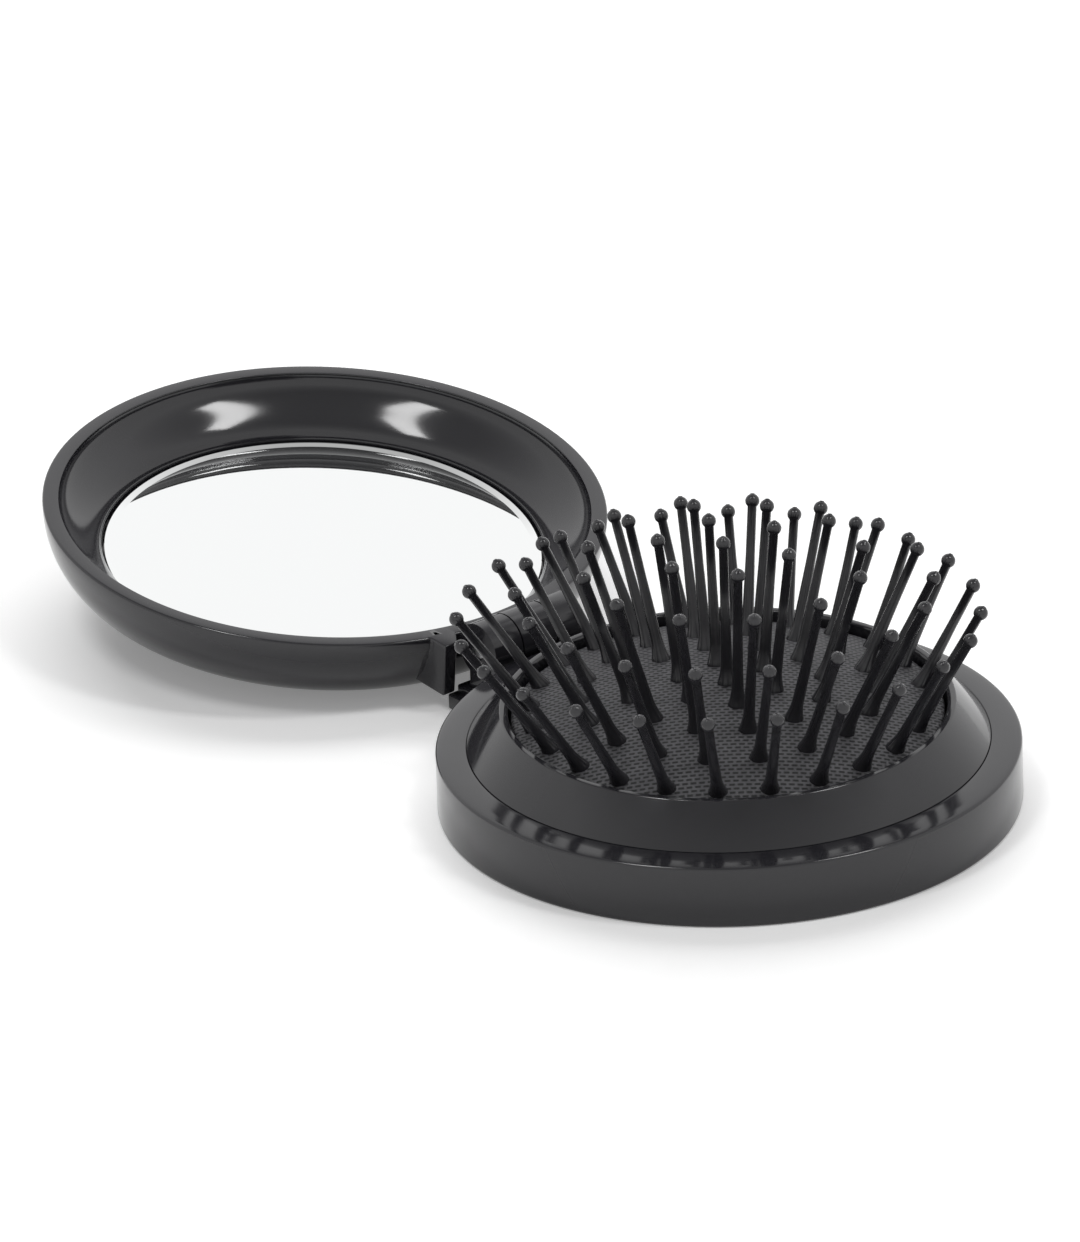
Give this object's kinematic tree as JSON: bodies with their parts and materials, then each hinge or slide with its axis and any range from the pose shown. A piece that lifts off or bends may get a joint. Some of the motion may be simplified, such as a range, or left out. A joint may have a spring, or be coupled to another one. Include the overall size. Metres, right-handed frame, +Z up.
{
  "type": "folding hairbrush",
  "caption": "Round folding pocket hairbrush: a pop-up cushion with ball-tipped pins in a base, and a hinged lid that holds a mirror and closes over the sunk pins.",
  "frame": {"origin": "on the surface that the open brush lies on, straight under the middle of the hinge, which is the middle of its footprint", "axes": "+X along the hinge axis, +Y from the brush half towards the open lid, +Z up"},
  "size_m": [0.066, 0.1385, 0.0325],
  "materials": {
    "black_shell": "satin gloss charcoal black moulded plastic",
    "black_pin": "glossy black nylon",
    "cushion_face": "matt dark grey rubber with a fine woven texture",
    "black_rubber": "matt black rubber",
    "steel": "drawn steel wire",
    "mirror": "silvered glass with a small polished bevel",
    "foam": "double-sided adhesive foam"
  },
  "bodies": {
    "base": {"base_ring": "black_shell", "collar": "black_shell", "bottom_ring": "black_shell", "rubber_skirt": "black_rubber", "hinge_pin": "steel"},
    "brush": {"cushion": "cushion_face", "cushion_back": "black_rubber", "pin_centre": "black_pin", "pins_first_ring": "black_pin", "pins_second_ring": "black_pin", "pins_third_ring_left": "black_pin", "pins_third_ring_right": "black_pin", "pins_outer_ring_left": "black_pin", "pins_outer_ring_right": "black_pin"},
    "lid": {"lid_shell": "black_shell", "mirror_frame": "black_shell", "mirror_glass": "mirror", "mirror_foam": "foam"}
  },
  "joints": [
    {"name": "lid_hinge", "type": "hinge", "parent": "base", "child": "lid", "pos_m": [0, 0, 0.008], "axis": [1, 0, 0], "range_deg": [0, 173]},
    {"name": "brush_slide", "type": "slide", "parent": "base", "child": "brush", "axis": [0, 0, -1], "range_m": [0, 0.0188], "deforming": ["rubber_skirt", "pins_outer_ring_left", "pins_outer_ring_right"]}
  ],
  "couplings": [
    {"joint": "brush_slide", "follows": "lid_hinge", "m_per_rad": 0.00622}
  ]
}
